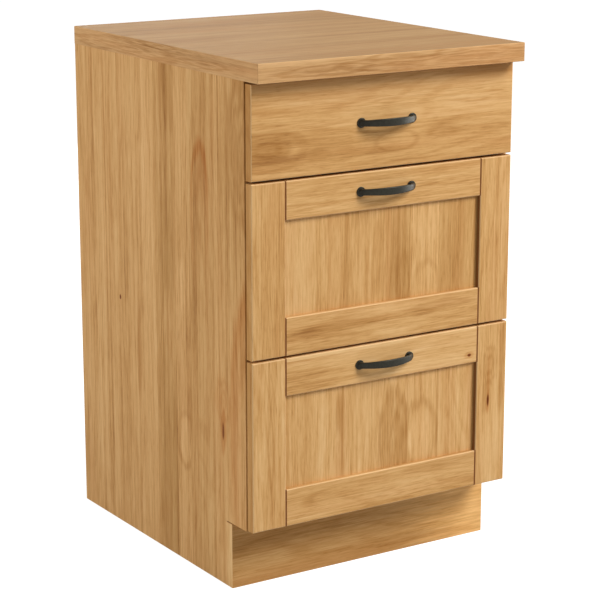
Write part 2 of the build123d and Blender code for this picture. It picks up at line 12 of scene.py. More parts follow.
import bpy
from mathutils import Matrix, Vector


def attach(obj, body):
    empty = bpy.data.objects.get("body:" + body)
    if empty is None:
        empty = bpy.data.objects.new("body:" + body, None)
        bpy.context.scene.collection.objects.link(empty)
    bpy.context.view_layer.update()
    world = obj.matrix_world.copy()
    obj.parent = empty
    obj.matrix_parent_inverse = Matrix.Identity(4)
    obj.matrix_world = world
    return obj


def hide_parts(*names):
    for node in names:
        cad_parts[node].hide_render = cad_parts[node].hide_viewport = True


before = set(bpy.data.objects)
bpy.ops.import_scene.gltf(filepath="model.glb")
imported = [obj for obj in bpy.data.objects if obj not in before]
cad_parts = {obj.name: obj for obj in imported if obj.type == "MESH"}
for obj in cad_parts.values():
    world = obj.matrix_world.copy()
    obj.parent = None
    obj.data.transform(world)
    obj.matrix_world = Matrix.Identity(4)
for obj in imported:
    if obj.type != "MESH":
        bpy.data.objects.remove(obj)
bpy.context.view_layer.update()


# %% [markdown]
# ## Camera
#
# The picture was taken from the left, a little above the worktop, with a long lens, so the cabinet
# hardly narrows with distance. The camera is placed by its real distance and aimed with two turns:
# down from level, and to the right of straight ahead. A square picture needs no more than that.

# %% Place the camera
camera_place = (-1.8217, -2.8724, 1.2387)
camera_down = 0.2424  # radians below level
camera_right = 0.5691  # radians to the right of straight ahead
camera_lens = 123.5  # mm, on a sensor 36 mm wide

bpy.ops.object.select_all(action="DESELECT")
bpy.ops.object.camera_add(
    location=camera_place, rotation=(pi / 2 - camera_down, 0.0, -camera_right)
)
camera = bpy.context.object
camera.name = "picture_camera"
camera.data.lens = camera_lens
camera.data.sensor_width = 36.0
camera.data.clip_end = 50.0
bpy.context.scene.camera = camera
bpy.context.scene.view_settings.view_transform = "Standard"
to_cabinet = Vector(camera_place) - Vector((0.0, 0.0, 0.4))
print("camera distance to the cabinet:", round(to_cabinet.length, 2))


# %% [markdown]
# ## Studio
#
# A catalogue picture has a white surround and one large soft key lamp. The one here stands in front
# on the right, above the worktop: it lights the fronts fully, leaves the left side a little darker,
# and lets the overhang of the worktop, the handles and the inner edges of the frames draw their
# shadows to the lower left. Three weaker lamps, on the right, behind and on the left, keep the other
# sides from going dark, and the sky gives the rest. Together they stay at a level where a colour
# looks as written. The surround is white only for the camera and a light grey for mirror rays, so
# its white adds no light to the oak. A card on the right shows only in what mirrors it, so that dark
# metal gets a light side and its curve can be read.

# %% Helpers for node trees
def put(tree, kind, inputs=None, **settings):
    """Adds a node. Each input gets a value, or a link if it is given another node's socket."""
    node = tree.nodes.new(kind)
    for name, value in settings.items():
        setattr(node, name, value)
    for key, value in (inputs or {}).items():
        if isinstance(value, bpy.types.NodeSocket):
            tree.links.new(value, node.inputs[key])
        else:
            node.inputs[key].default_value = value
    return node


def maths(tree, operation, *values):
    """The result of a math node on one, two or three numbers."""
    return put(tree, "ShaderNodeMath", dict(enumerate(values)), operation=operation).outputs[0]


def vector_maths(tree, operation, *values):
    """The same on vectors."""
    inputs = dict(enumerate(values))
    return put(tree, "ShaderNodeVectorMath", inputs, operation=operation).outputs[0]


def remap(tree, value, low, high, to_low=0.0, to_high=1.0, **settings):
    """A value that lies between low and high, brought between to_low and to_high and kept there."""
    ends = {"From Min": low, "From Max": high, "To Min": to_low, "To Max": to_high}
    return put(tree, "ShaderNodeMapRange", {"Value": value, **ends}, **settings).outputs[0]


def mix_colours(tree, share, first, second, blend="MIX"):
    """The first colour, with a share of the second laid on it."""
    inputs = {"Factor": share, "A": first, "B": second}
    node = put(tree, "ShaderNodeMix", inputs, data_type="RGBA", blend_type=blend)
    return node.outputs["Result"]


def srgb(red, green, blue):
    """A colour as painters mix it on a screen, 0 to 255, turned into the linear values of a shader."""
    linear = [
        value / 255 / 12.92 if value <= 10 else ((value / 255 + 0.055) / 1.055) ** 2.4
        for value in (red, green, blue)
    ]
    return (*linear, 1.0)


def new_material(name):
    """An empty material and its node tree."""
    material = bpy.data.materials.new(name)
    material.use_nodes = True
    material.node_tree.nodes.clear()
    return material, material.node_tree


# %% Sky, lamps and floor
sky_strength = 0.38
lamp_power = 257.0
fill_power = 47.0
window_power = 16.0
back_power = 24.0
card_power = 30.0
mirror_glow = 0.5
floor_size = 40.0
floor_drop = 0.0005  # below the feet, so that the two faces don't fight
floor_glow = 0.86
floor_grey = 0.42
white = (1.0, 1.0, 1.0, 1.0)

world = bpy.data.worlds.new("studio")
world.use_nodes = True
bpy.context.scene.world = world
sky_tree = world.node_tree
sky_tree.nodes.clear()
rays = put(sky_tree, "ShaderNodeLightPath").outputs
mirror_rays = maths(sky_tree, "MAXIMUM", rays["Is Glossy Ray"], rays["Is Transmission Ray"])
brightness = remap(sky_tree, mirror_rays, 0.0, 1.0, sky_strength, mirror_glow)
brightness = maths(sky_tree, "MAXIMUM", brightness, rays["Is Camera Ray"])
sky = put(sky_tree, "ShaderNodeBackground", {"Color": white, "Strength": brightness})
put(sky_tree, "ShaderNodeOutputWorld", {"Surface": sky.outputs[0]})


def add_lamp(name, place, target, width, height, power):
    """A soft lamp that faces the target."""
    aim = (Vector(target) - Vector(place)).to_track_quat("-Z", "Y").to_euler()
    bpy.ops.object.select_all(action="DESELECT")
    bpy.ops.object.light_add(type="AREA", location=place, rotation=aim)
    lamp = bpy.context.object
    lamp.name = name
    lamp.data.shape = "RECTANGLE"
    lamp.data.size = width
    lamp.data.size_y = height
    lamp.data.energy = power
    print(name, "at", place, "gives", power, "W")
    return lamp


add_lamp("key_lamp", (2.7, -3.3, 3.7), (0.0, -0.2, 0.4), 2.0, 2.2, lamp_power)
add_lamp("window_lamp", (2.9, 0.3, 0.5), (0.0, -0.25, 0.5), 1.2, 1.2, window_power)
add_lamp("back_lamp", (1.2, 3.8, 0.9), (0.0, 0.3, 0.5), 2.0, 1.4, back_power)
add_lamp("fill_lamp", (-3.2, 0.6, 1.4), (-0.2, 0.0, 0.4), 1.6, 1.6, fill_power)
card = add_lamp("mirror_card", (2.6, -0.7, 0.9), (0.0, -0.3, 0.6), 1.4, 1.8, card_power)
card.visible_diffuse = False

bpy.ops.mesh.primitive_plane_add(size=floor_size, location=(0, 0, -floor_drop))
floor = bpy.context.object
floor.name = "studio_floor"
floor_finish, floor_tree = new_material("studio_white")
floor_rays = put(floor_tree, "ShaderNodeLightPath").outputs
mirrored_glow = remap(
    floor_tree, floor_rays["Is Glossy Ray"], 0.0, 1.0, 0.0, floor_glow * mirror_glow
)
seen_glow = remap(floor_tree, floor_rays["Is Camera Ray"], 0.0, 1.0, mirrored_glow, floor_glow)
floor_paint = put(
    floor_tree, "ShaderNodeBsdfDiffuse", {"Color": (floor_grey, floor_grey, floor_grey, 1.0)}
)
floor_light = put(floor_tree, "ShaderNodeEmission", {"Color": white, "Strength": seen_glow})
floor_sum = put(
    floor_tree, "ShaderNodeAddShader", {0: floor_paint.outputs[0], 1: floor_light.outputs[0]}
)
put(floor_tree, "ShaderNodeOutputMaterial", {"Surface": floor_sum.outputs[0]})
floor.data.materials.append(floor_finish)


# %% [markdown]
# ## Oak decor
#
# The fronts and sides of such a cabinet carry a printed oak decor: boards glued from staves, each
# stave with its own tone, fine straight fibres, short dark pores, and slow bands where the rings
# of the tree were cut. One node group draws all of it from a position on the board, with the grain
# along the group's z. Every layer is a noise that is drawn out along the grain, from bands a few
# centimetres wide to fibres of a millimetre. A very slow noise pushes them sideways, so they wander
# as real fibres do, and each stave reads the noise at another place, as if it came from another
# tree. Doing this once, in a group with named inputs, keeps the boards alike and lets each one
# have its own figure.

# %% Build the grain group
def socket_kind(value):
    """The kind of socket for a value: one number, three for a vector or four for a colour."""
    if isinstance(value, float):
        return "NodeSocketFloat"
    return "NodeSocketVector" if len(value) == 3 else "NodeSocketColor"


def new_group(name, inputs, outputs):
    """A shader node group with its sockets, whose values at the start also say their kind."""
    group = bpy.data.node_groups.new(name, "ShaderNodeTree")
    for way, sockets in (("INPUT", inputs), ("OUTPUT", outputs)):
        for socket, value in sockets.items():
            kind = socket_kind(value)
            made = group.interface.new_socket(socket, in_out=way, socket_type=kind)
            made.default_value = value
    return group, put(group, "NodeGroupInput").outputs, put(group, "NodeGroupOutput").inputs


def blend_value(tree, parts, start=0.5):
    """start plus each value's distance from one half, times its weight."""
    total = start
    for value, weight in parts:
        centred = maths(tree, "SUBTRACT", value, 0.5)
        total = maths(tree, "MULTIPLY_ADD", centred, weight, total)
    return total


def drawn_noise(tree, place, across, along, detail=2.0, roughness=0.5, distortion=0.0):
    """Noise with so many waves to the metre across the grain, and so many along it."""
    inputs = {
        "Vector": vector_maths(tree, "MULTIPLY", place, (across, across, along)),
        "Scale": 1.0,
        "Detail": detail,
        "Roughness": roughness,
        "Distortion": distortion,
    }
    return put(tree, "ShaderNodeTexNoise", inputs).outputs["Fac"]


grain, board, grain_out = new_group(
    "oak_grain",
    {
        "Position": (0.0, 0.0, 0.0),
        "Stave Width": 0.05,
        "Stave Contrast": 0.25,
        "Band Contrast": 0.66,
        "Arch Contrast": 0.12,
        "Line Contrast": 0.4,
        "Streak Contrast": 0.75,
        "Fibre Contrast": 0.9,
        "Pore Contrast": 0.18,
        "Cloud Contrast": 0.65,
        "Lift": 0.0,
    },
    {"Tone": 0.0, "Hue": 0.0, "Fibre": 0.0, "Pore": 0.0},
)
stave_shift = (0.4, 0.4, 2.5)  # how far apart in the noise two staves can be
wander_reach = 0.007  # how far fibres stray sideways
across = put(grain, "ShaderNodeSeparateXYZ", {0: board["Position"]}).outputs["X"]
stave = maths(grain, "DIVIDE", across, board["Stave Width"])
stave = maths(grain, "FLOOR", stave)
stave_chance = put(grain, "ShaderNodeTexWhiteNoise", {"W": stave}, noise_dimensions="1D").outputs
stave_place = vector_maths(
    grain, "MULTIPLY_ADD", stave_chance["Color"], stave_shift, board["Position"]
)
wander = drawn_noise(grain, stave_place, 16.0, 3.5, 1.0)
wander = maths(grain, "SUBTRACT", wander, 0.5)
wander = maths(grain, "MULTIPLY", wander, wander_reach)
wander = put(grain, "ShaderNodeCombineXYZ", {0: wander}).outputs[0]
fibre_place = vector_maths(grain, "ADD", stave_place, wander)
print("staves and wandering fibres are placed")

# %% Lay bands, lines, streaks, fibres, pores and arches on those places
arch_rings = 13.0  # rings from the lowest to the highest value of their noise
arch_dark, arch_pale = -1.0, -0.2  # on the sine, so most of a ring is pale
pore_low, pore_high = 0.56, 0.74
bands = drawn_noise(grain, fibre_place, 48.0, 1.6, 2.0)
lines = drawn_noise(grain, fibre_place, 120.0, 1.0, 2.0, 0.7)
streaks = drawn_noise(grain, fibre_place, 300.0, 4.2, 3.0, 0.65)
fibres = drawn_noise(grain, fibre_place, 430.0, 24.0, 3.0, 0.6)
clouds = drawn_noise(grain, stave_place, 13.0, 5.0, 2.0)
hue = drawn_noise(grain, fibre_place, 34.0, 2.4, 3.0, 0.6)
pores = drawn_noise(grain, fibre_place, 850.0, 62.0, 1.0)
pores = remap(grain, pores, pore_low, pore_high)
arches = drawn_noise(grain, stave_place, 11.0, 1.5, 1.0, 0.5, 0.25)
arches = maths(grain, "MULTIPLY", arches, 2 * pi * arch_rings)
arches = maths(grain, "SINE", arches)
arches = remap(grain, arches, arch_dark, arch_pale)
tone = blend_value(
    grain,
    [
        (stave_chance["Value"], board["Stave Contrast"]),
        (bands, board["Band Contrast"]),
        (arches, board["Arch Contrast"]),
        (lines, board["Line Contrast"]),
        (streaks, board["Streak Contrast"]),
        (fibres, board["Fibre Contrast"]),
        (clouds, board["Cloud Contrast"]),
    ],
)
pore_depth = maths(grain, "MULTIPLY", pores, board["Pore Contrast"])
tone = maths(grain, "SUBTRACT", tone, pore_depth)
tone = maths(grain, "ADD", tone, board["Lift"])
for name, result in (("Tone", tone), ("Hue", hue), ("Fibre", fibres), ("Pore", pores)):
    grain.links.new(result, grain_out[name])
print("oak_grain has", len(grain.nodes), "nodes")


# %% [markdown]
# ## Hearts and knots
#
# Where a saw cuts across the curve of the rings, they show as nested pointed arches, which a maker
# calls the heart. Where a branch grew, there is a dark pip. Both are rings round a middle, longer
# along the board than across, so one group draws either: rings inside an oval with a ragged edge,
# which may have a dark rim, may fade out towards its lower or upper end, and may be cut off straight
# by a glue line. Each is put on its board one by one.

# %% Build the heart group
heart, heart_in, heart_out = new_group(
    "heart_rings",
    {
        "Position": (0.0, 0.0, 0.0),
        "Centre": (0.0, 0.0, 0.0),
        "Half Width": 0.02,
        "Half Length": 0.1,
        "Rings": 3.0,
        "Fill": 0.3,
        "Core": 1.0,
        "Low End": 1.0,
        "High End": 1.0,
        "Left Cut": -1.0,
        "Right Cut": 1.0,
        "Rim": 0.0,
        "Ragged": 0.9,
    },
    {"Mask": 0.0},
)
ring_gap = -0.6  # the cosine below which there is no ring
oval_end, oval_full = 1.25, 0.6  # where the oval ends and is at full strength, of its half size
fade_end = 0.9
rim_end, rim_full = 0.2, 0.05  # as far as this from the edge of the oval
cut_blur = 0.0004
from_heart = vector_maths(heart, "SUBTRACT", heart_in["Position"], heart_in["Centre"])
slow_edge = drawn_noise(heart, from_heart, 42.0, 7.0, 2.0)
fine_edge = drawn_noise(heart, from_heart, 330.0, 9.0, 3.0, 0.6)
sides = put(heart, "ShaderNodeSeparateXYZ", {0: from_heart}).outputs
wide = maths(heart, "DIVIDE", sides["X"], heart_in["Half Width"])
long = maths(heart, "DIVIDE", sides["Z"], heart_in["Half Length"])
oval = put(heart, "ShaderNodeCombineXYZ", {"X": wide, "Z": long}).outputs[0]
reach = put(heart, "ShaderNodeVectorMath", {0: oval}, operation="LENGTH").outputs["Value"]
ragged = heart_in["Ragged"]
reach = blend_value(heart, [(slow_edge, ragged), (fine_edge, ragged)], reach)
turns = maths(heart, "MULTIPLY", reach, heart_in["Rings"])
turns = maths(heart, "MULTIPLY", turns, 2 * pi)
turns = maths(heart, "COSINE", turns)
rings = remap(heart, turns, ring_gap, 1.0, heart_in["Fill"], heart_in["Core"])
inside = remap(heart, reach, oval_end, oval_full, interpolation_type="SMOOTHSTEP")
fade = remap(heart, long, -fade_end, fade_end, heart_in["Low End"], heart_in["High End"])
mask = maths(heart, "MULTIPLY", rings, inside)
off_rim = maths(heart, "SUBTRACT", reach, 1.0)
off_rim = maths(heart, "ABSOLUTE", off_rim)
rim = remap(heart, off_rim, rim_end, rim_full, 0.0, heart_in["Rim"])
mask = maths(heart, "MAXIMUM", mask, rim)
mask = maths(heart, "MULTIPLY", mask, fade)
for blur, cut in ((cut_blur, "Left Cut"), (-cut_blur, "Right Cut")):
    depth = maths(heart, "SUBTRACT", sides["X"], heart_in[cut])
    kept = remap(heart, depth, -blur, blur)
    mask = maths(heart, "MULTIPLY", mask, kept)
heart.links.new(mask, heart_out["Mask"])
print("heart_rings has", len(heart.nodes), "nodes")


# %% [markdown]
# ## Edges
#
# The foil is wrapped round the boards, and every bevel gets a fine light line painted along it: a
# painted highlight, like the one a rounded edge catches from the lamps. On a bevel the surface faces
# between two of the main directions, so its normal gives it away, and no edge has to be named.

# %% Build the edge group
def facing_shares(tree):
    """How far the surface faces along X, Y and Z, whichever way."""
    facing = put(tree, "ShaderNodeNewGeometry").outputs["True Normal"]
    facing = vector_maths(tree, "ABSOLUTE", facing)
    return put(tree, "ShaderNodeSeparateXYZ", {0: facing}).outputs


bevel_from, bevel_full = 0.985, 0.9  # the largest share of a flat face is 1
edge_group, edge_in, edge_out = new_group("painted_edge_highlight", {"Strength": 0.4}, {"Mask": 0.0})
facing = facing_shares(edge_group)
steepest = maths(edge_group, "MAXIMUM", facing["X"], facing["Y"])
steepest = maths(edge_group, "MAXIMUM", steepest, facing["Z"])
edge_mask = remap(edge_group, steepest, bevel_from, bevel_full, 0.0, edge_in["Strength"])
edge_group.links.new(edge_mask, edge_out["Mask"])
print("painted_edge_highlight has", len(edge_group.nodes), "nodes")


# %% [markdown]
# ## Oak boards
#
# Every board gets its own material from one function. It says which way the grain runs, where on the
# sheet of decor the board starts, and which colours lie between its dark and pale fibres. The decor
# is a satin foil, so the gloss changes only a little with the fibres, and a faint bump lets them
# catch the light.

# %% A material for each oak board
upright_front = ("X", "Y", "Z")  # across, deep, along: fronts with upright grain
level_front = ("Z", "Y", "X")
upright_side = ("Y", "X", "Z")
level_side = ("Z", "X", "Y")
level_top = ("Y", "Z", "X")

honey = [
    (0.0, srgb(164, 114, 62)),
    (0.3, srgb(194, 144, 84)),
    (0.5, srgb(208, 160, 100)),
    (0.7, srgb(218, 172, 113)),
    (1.0, srgb(230, 189, 133)),
]
greyed = [
    (0.0, srgb(152, 110, 66)),
    (0.3, srgb(178, 136, 88)),
    (0.5, srgb(188, 147, 98)),
    (0.7, srgb(197, 157, 108)),
    (1.0, srgb(208, 169, 121)),
]
amber = [
    (0.0, srgb(166, 116, 62)),
    (0.3, srgb(196, 146, 87)),
    (0.5, srgb(209, 160, 101)),
    (0.7, srgb(218, 171, 112)),
    (1.0, srgb(230, 187, 130)),
]
rust = srgb(184, 118, 60)
# the colour of the painted highlight along every bevel
edge_highlight = srgb(246, 212, 162)
# painted shade in the V-groove between rail and stile, and on the walls of the panel's recess
groove_shade = srgb(146, 88, 42)
recess_wall_shade = srgb(136, 92, 50)
lining_white = srgb(236, 234, 229)
frame_inner = 0.186  # where rails and stiles meet
rail_from = 0.0765  # from the middle height of a framed front to its rails
side_inner = 0.233
front_end = 0.2464
foil_roughness = (0.62, 0.46)  # of dark fibres and of pale ones
foil_relief = (0.2, 0.0003)  # strength and depth
foil_specular = 0.12
edge_share = 0.7  # a face looks along X or Y where more than this share of its normal does
drawn_blur = 0.0004  # over which a drawn line fades in
end_blur = 0.0005
groove_ends = (0.0020, 0.0012)  # this far from a joint its line of painted shade ends and is full
wall_ends = (0.0005, 0.0002)
lining_reach = 0.0002  # past the face that it covers
groove_shade_strength = 0.85
wall_shade_strength = 0.9
hue_ends = (0.5, 0.8)
hue_strength = 0.3
# a heart or knot keeps the grain under it: its tint multiplies the colour of the board
umber_tint = (0.80, 0.72, 0.60, 1.0)
olive_tint = (0.82, 0.78, 0.68, 1.0)
rust_tint = (0.82, 0.64, 0.47, 1.0)
straw_tint = (1.12, 1.17, 1.27, 1.0)
# painted light: lightens the plinth's right end
painted_light_tint = (1.17, 1.16, 1.12, 1.0)
strip_tint = (1.38, 1.44, 1.56, 1.0)
bark_tint = (0.30, 0.14, 0.07, 1.0)


def spot(
    tint, across_at, along_at, half_width, half_length, rings=1.0, fill=1.0, low=1.0, high=1.0,
    left=-1.0, right=1.0, core=1.0, rim=0.0, ragged=0.9,
):
    """A heart or knot, and on the top front and the plinth a patch of painted shade: its tint, place
    and size, its rings and the fill between them, and how strong its low and high ends are. Glue lines
    can cut it off on its left and right. core is how strong the rings are, rim how strong the line
    round them is, and ragged how much their edge strays."""
    values = {
        "Centre": (across_at, 0.0, along_at),
        "Half Width": half_width,
        "Half Length": half_length,
        "Rings": rings,
        "Fill": fill,
        "Low End": low,
        "High End": high,
        "Left Cut": left,
        "Right Cut": right,
        "Core": core,
        "Rim": rim,
        "Ragged": ragged,
    }
    return tint, values


def wash(tint, *oval, strength, **more):
    """An even patch without rings, as for the tone of a whole stave, for the bands of painted shadow on
    the panels, and for the painted light on the plinth's right end.
    """
    return spot(tint, *oval, rings=0.0, low=strength, high=strength, **more)


def outline(tint, *oval, low, high, rim, core=0.0, ragged=0.4, **cuts):
    """A heart of which little more than the line round it shows."""
    drawn = {"core": core, "rim": rim, "ragged": ragged}
    return spot(tint, *oval, rings=0.5, fill=0.0, low=low, high=high, **drawn, **cuts)


def place_mask(tree, position, values):
    """The mask of a heart or knot."""
    inputs = {"Position": position, **values}
    return put(tree, "ShaderNodeGroup", inputs, node_tree=heart).outputs["Mask"]


def turned_place(tree, split, axes):
    """The position with its axes in the order across, deep, along."""
    order = {number: split[axis] for number, axis in enumerate(axes)}
    return put(tree, "ShaderNodeCombineXYZ", order).outputs[0]


def beyond(tree, value, centre, low, high):
    """1 where a value is further than high from the centre, and 0 where it is nearer than low.
    With high below low it is the other way round."""
    distance = maths(tree, "SUBTRACT", value, centre)
    distance = maths(tree, "ABSOLUTE", distance)
    return remap(tree, distance, low, high)


def coat(tree, colour, texture, roughness, relief, more):
    """The surface of a material. The texture takes its roughness from the first value to the second,
    and stands out of it with the strength and depth of the relief."""
    gloss = remap(tree, texture, 0.0, 1.0, *roughness)
    strength, depth = relief
    bump = put(tree, "ShaderNodeBump", {"Strength": strength, "Distance": depth, "Height": texture})
    inputs = {"Base Color": colour, "Roughness": gloss, "Normal": bump.outputs[0], **more}
    shader = put(tree, "ShaderNodeBsdfPrincipled", inputs)
    put(tree, "ShaderNodeOutputMaterial", {"Surface": shader.outputs[0]})


def oak(
    name, axes, start, colours=honey, figure_light_and_shade=(), edges=None, edge_light=1.0,
    seam=None, ends=None, lining=None, **contrasts,
):
    """A board of oak decor. edges gives the faces that look along X or Y their own direction of
    grain. seam is the middle height of a framed front, about which shade is painted into the grooves
    at the rails and onto the walls of the panel's recess; ends how far out the darker ends of a front
    start, and lining how far out a side panel is white."""
    material, tree = new_material(name)
    place = put(tree, "ShaderNodeTexCoord").outputs["Object"]
    split = put(tree, "ShaderNodeSeparateXYZ", {0: place}).outputs
    turned = turned_place(tree, split, axes)
    facing = facing_shares(tree)
    for axis, edge_axes in (edges or {}).items():
        on_edge = maths(tree, "GREATER_THAN", facing[axis], edge_share)
        places = {"Factor": on_edge, 4: turned, 5: turned_place(tree, split, edge_axes)}
        turned = put(tree, "ShaderNodeMix", places, data_type="VECTOR").outputs[1]
    moved = vector_maths(tree, "ADD", turned, start)
    figure = put(tree, "ShaderNodeGroup", node_tree=grain)
    tree.links.new(moved, figure.inputs["Position"])
    for socket, value in contrasts.items():
        figure.inputs[socket.replace("_", " ").title()].default_value = value
    ramp = put(tree, "ShaderNodeValToRGB", {0: figure.outputs["Tone"]})
    stops = ramp.color_ramp.elements
    stops[0].position, stops[0].color = colours[0]
    stops[1].position, stops[1].color = colours[-1]
    for position, stop_colour in colours[1:-1]:
        stops.new(position).color = stop_colour
    colour = ramp.outputs[0]
    # each layer: how it is laid on, its tint, its mask, the mask's ends, and its strength
    layers = [("MIX", rust, figure.outputs["Hue"], *hue_ends, hue_strength)]
    for tint, values in figure_light_and_shade:
        layers.append(("MULTIPLY", tint, place_mask(tree, turned, values), 0.0, 1.0, 1.0))
    # a painted highlight along every bevel, as strong as edge_light says
    edge = put(tree, "ShaderNodeGroup", node_tree=edge_group)
    layers.append(("MIX", edge_highlight, edge.outputs["Mask"], 0.0, 1.0, edge_light))
    # painted shade in the grooves at the rails and on the walls of the panel's recess
    if seam:
        half = maths(tree, "ABSOLUTE", split["X"])
        at_rails = beyond(tree, split["Z"], seam, rail_from - drawn_blur, rail_from)
        at_panel = beyond(tree, split["Z"], seam, rail_from, rail_from - drawn_blur)
        in_groove = beyond(tree, half, frame_inner, *groove_ends)
        on_wall = beyond(tree, half, frame_inner, *wall_ends)
        for tint, level, line, strength in (
            (groove_shade, at_rails, in_groove, groove_shade_strength),
            (recess_wall_shade, at_panel, on_wall, wall_shade_strength),
        ):
            share = maths(tree, "MULTIPLY", level, line)
            layers.append(("MIX", tint, share, 0.0, 1.0, strength))
    if ends:
        at_ends = beyond(tree, split["X"], 0.0, ends, ends + end_blur)
        layers.append(("MULTIPLY", umber_tint, at_ends, 0.0, 1.0, 1.0))
    if lining:
        lined_to = lining + lining_reach
        inside = beyond(tree, split["X"], 0.0, lined_to + drawn_blur, lined_to)
        layers.append(("MIX", lining_white, inside, 0.0, 1.0, 1.0))
    for blend, tint, amount, low, high, strength in layers:
        share = remap(tree, amount, low, high, 0.0, strength)
        colour = mix_colours(tree, share, colour, tint, blend)
    shine = {"Specular IOR Level": foil_specular}
    coat(tree, colour, figure.outputs["Fibre"], foil_roughness, foil_relief, shine)
    return material


def finish_node(node, material):
    """Gives a CAD node its material."""
    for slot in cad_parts[node].material_slots:
        slot.material = material


# %% Worktop
worktop_hearts = [
    # the strips on the edges are a little paler than the top
    wash(strip_tint, 0.835, 0.0, 0.1, 3.0, strength=1.0),
    spot(umber_tint, 0.833, 0.12, 0.018, 0.3, 3.0, 0.1, 1.0, 0.8),
    spot(umber_tint, 0.832, -0.14, 0.012, 0.14, 2.0, 0.1, 0.9, 0.9),
    spot(umber_tint, 0.846, 0.01, 0.01, 0.11, 2.0, 0.1, 0.9, 0.9),
]
worktop_decor = oak(
    "worktop_decor", level_top, (0.3, 0.1, 0.9), greyed, worktop_hearts,
    edges={"Y": level_front, "X": level_side},
    edge_light=0.15,
    stave_width=0.9,
    band_contrast=0.75,
    arch_contrast=0.03,
    line_contrast=0.15,
    streak_contrast=0.5,
    fibre_contrast=0.5,
    pore_contrast=0.12,
    cloud_contrast=0.2,
    lift=-0.09,
)
finish_node("worktop", worktop_decor)

# %% Side panels
side_hearts = [
    # the stave between two glue lines, with its three dark patches
    wash(olive_tint, -0.008, 0.41, 0.06, 0.9, strength=0.5, left=-0.033, right=0.033),
    spot(umber_tint, -0.02, 0.8, 0.026, 0.09, 1.0, 0.9, 0.8, 1.0, left=-0.021, right=0.024),
    spot(olive_tint, -0.012, 0.53, 0.028, 0.1, 1.0, 0.9, 1.0, 0.5),
    spot(olive_tint, -0.014, 0.1, 0.034, 0.22, 1.0, 0.9, 0.6, 1.0, left=-0.027),
    # the next one, pale, with two eyes
    wash(straw_tint, -0.062, 0.41, 0.05, 0.9, strength=0.2, left=-0.022, right=0.021),
    wash(straw_tint, -0.069, 0.212, 0.024, 0.044, strength=0.8, left=-0.015, ragged=0.4),
    outline(umber_tint, -0.069, 0.21, 0.026, 0.046, low=0.9, high=0.7, rim=0.7, left=-0.015, ragged=0.3),
    spot(straw_tint, -0.062, 0.468, 0.018, 0.05, 1.5, 0.6, 0.8, 0.7),
    # the brown one, with a pointed arch
    wash(olive_tint, -0.126, 0.41, 0.07, 0.9, strength=0.4, left=-0.04, right=0.041),
    spot(rust_tint, -0.122, 0.55, 0.034, 0.19, 1.5, 0.2, 0.0, 0.6),
    spot(umber_tint, -0.124, 0.55, 0.015, 0.13, 1.0, 0.2, 0.1, 0.6, rim=0.5, ragged=0.4),
    outline(rust_tint, -0.121, 0.6, 0.027, 0.105, low=0.0, high=1.0, rim=1.0, core=0.2, ragged=0.35),
    # the front one, with arcs above and the flame of a branch below
    spot(umber_tint, -0.25, 0.71, 0.042, 0.11, 3.0, 0.1, 0.7, 1.0, core=0.7, rim=0.8, ragged=0.5),
    spot(rust_tint, -0.19, 0.306, 0.026, 0.046, 2.5, 0.4, 0.7, 0.6),
    outline(rust_tint, -0.3, 0.25, 0.082, 0.26, low=0.4, high=1.0, rim=0.9, ragged=0.3),
    outline(rust_tint, -0.3, 0.24, 0.066, 0.19, low=0.2, high=1.0, rim=0.6),
    spot(olive_tint, -0.235, 0.64, 0.05, 0.26, 0.5, 1.0, 0.3, 0.7),
    spot(rust_tint, -0.19, 0.258, 0.01, 0.04, 1.0, 0.8),
    spot(bark_tint, -0.189, 0.257, 0.0032, 0.015, 0.5, 1.0, 0.9, 0.7),
    # loose streaks and a speck
    spot(umber_tint, 0.087, 0.325, 0.01, 0.09, 1.0, 0.9, 1.0, 0.6),
    spot(straw_tint, 0.06, 0.64, 0.026, 0.3, 1.0, 0.9, 0.2, 0.9),
    spot(bark_tint, 0.152, 0.405, 0.003, 0.0044, 0.5, 1.0),
]
side_contrasts = {"line_contrast": 1.0, "streak_contrast": 0.55, "cloud_contrast": 0.45}
left_side_decor = oak(
    "left_side_decor", upright_side, (0.375, 0.0, 0.2), amber, side_hearts,
    lining=side_inner,
    stave_width=0.066,
    stave_contrast=0.06,
    **side_contrasts,
)
finish_node("side_panel_left", left_side_decor)
right_side_decor = oak(
    "right_side_decor", upright_side, (0.71, 0.3, 1.2), amber,
    lining=side_inner,
    stave_width=0.075,
    **side_contrasts,
)
finish_node("side_panel_right", right_side_decor)

# %% Plinth and the plain top front
plinth_figure_light_and_shade = [
    # painted shade over the left two thirds, where the drawers' overhang casts its shadow, with faint
    # rings
    spot(umber_tint, 0.03, -0.11, 0.11, 0.33, 2.0, 0.7),
    spot(umber_tint, 0.07, -0.12, 0.016, 0.13, 2.0, 0.2, 0.4, 0.5),
    spot(rust_tint, 0.01, -0.06, 0.018, 0.2, 1.0, 0.8, 0.2, 0.2),
    # painted light on the right end, where the key lamp reaches past the drawers
    wash(painted_light_tint, 0.05, 0.262, 0.3, 0.16, strength=1.0),
    wash(painted_light_tint, 0.05, 0.262, 0.3, 0.11, strength=0.7),
]
plinth_decor = oak(
    "plinth_decor", level_front, (1.7, 0.0, 0.4),
    figure_light_and_shade=plinth_figure_light_and_shade,
    edges={"X": upright_side},
    lift=0.20,
    stave_width=0.14,
    band_contrast=0.5,
    cloud_contrast=0.6,
)
finish_node("plinth_board", plinth_decor)
